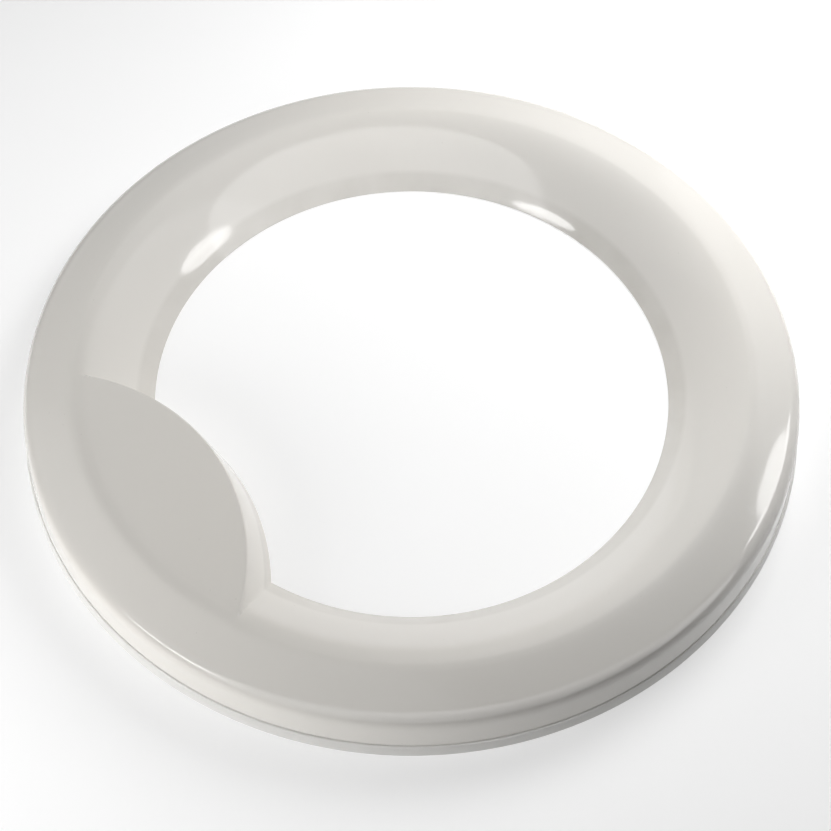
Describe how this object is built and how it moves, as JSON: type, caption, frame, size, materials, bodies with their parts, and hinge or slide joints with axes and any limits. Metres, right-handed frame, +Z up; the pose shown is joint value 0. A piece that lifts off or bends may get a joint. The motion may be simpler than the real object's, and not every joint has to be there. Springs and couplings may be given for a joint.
{
  "type": "toilet flange",
  "caption": "Round glossy flange that covers the gap around a toilet soil pipe, with a lens-shaped web across one side of its hole and a lift-off cover on a base ring.",
  "frame": {"origin": "centre of the ring on the flat underside of the base ring, the plane that the flange stands on", "axes": "+Z up out of the floor or wall along the ring's axis; the lens-shaped web is on -Y"},
  "size_m": [0.188, 0.188, 0.0145],
  "materials": {
    "cover": "high gloss injection-moulded ABS, slightly warm off-white",
    "base": "satin moulded polypropylene, off-white",
    "gasket": "soft moulded rubber, matt",
    "clip": "rolled stainless spring strip",
    "screw": "stainless, pan head"
  },
  "bodies": {
    "base": {"base_ring": "base", "base_gasket": "gasket", "retaining_clip_1": "clip", "retaining_clip_2": "clip", "retaining_clip_3": "clip", "retaining_clip_4": "clip", "clip_screw_1": "screw", "clip_screw_2": "screw", "clip_screw_3": "screw", "clip_screw_4": "screw"},
    "cover": {"cover_ring": "cover"}
  },
  "joints": [
    {"name": "cover_lift", "type": "slide", "parent": "base", "child": "cover", "axis": [0, 0, 1], "range_m": [0, 0.03]}
  ]
}
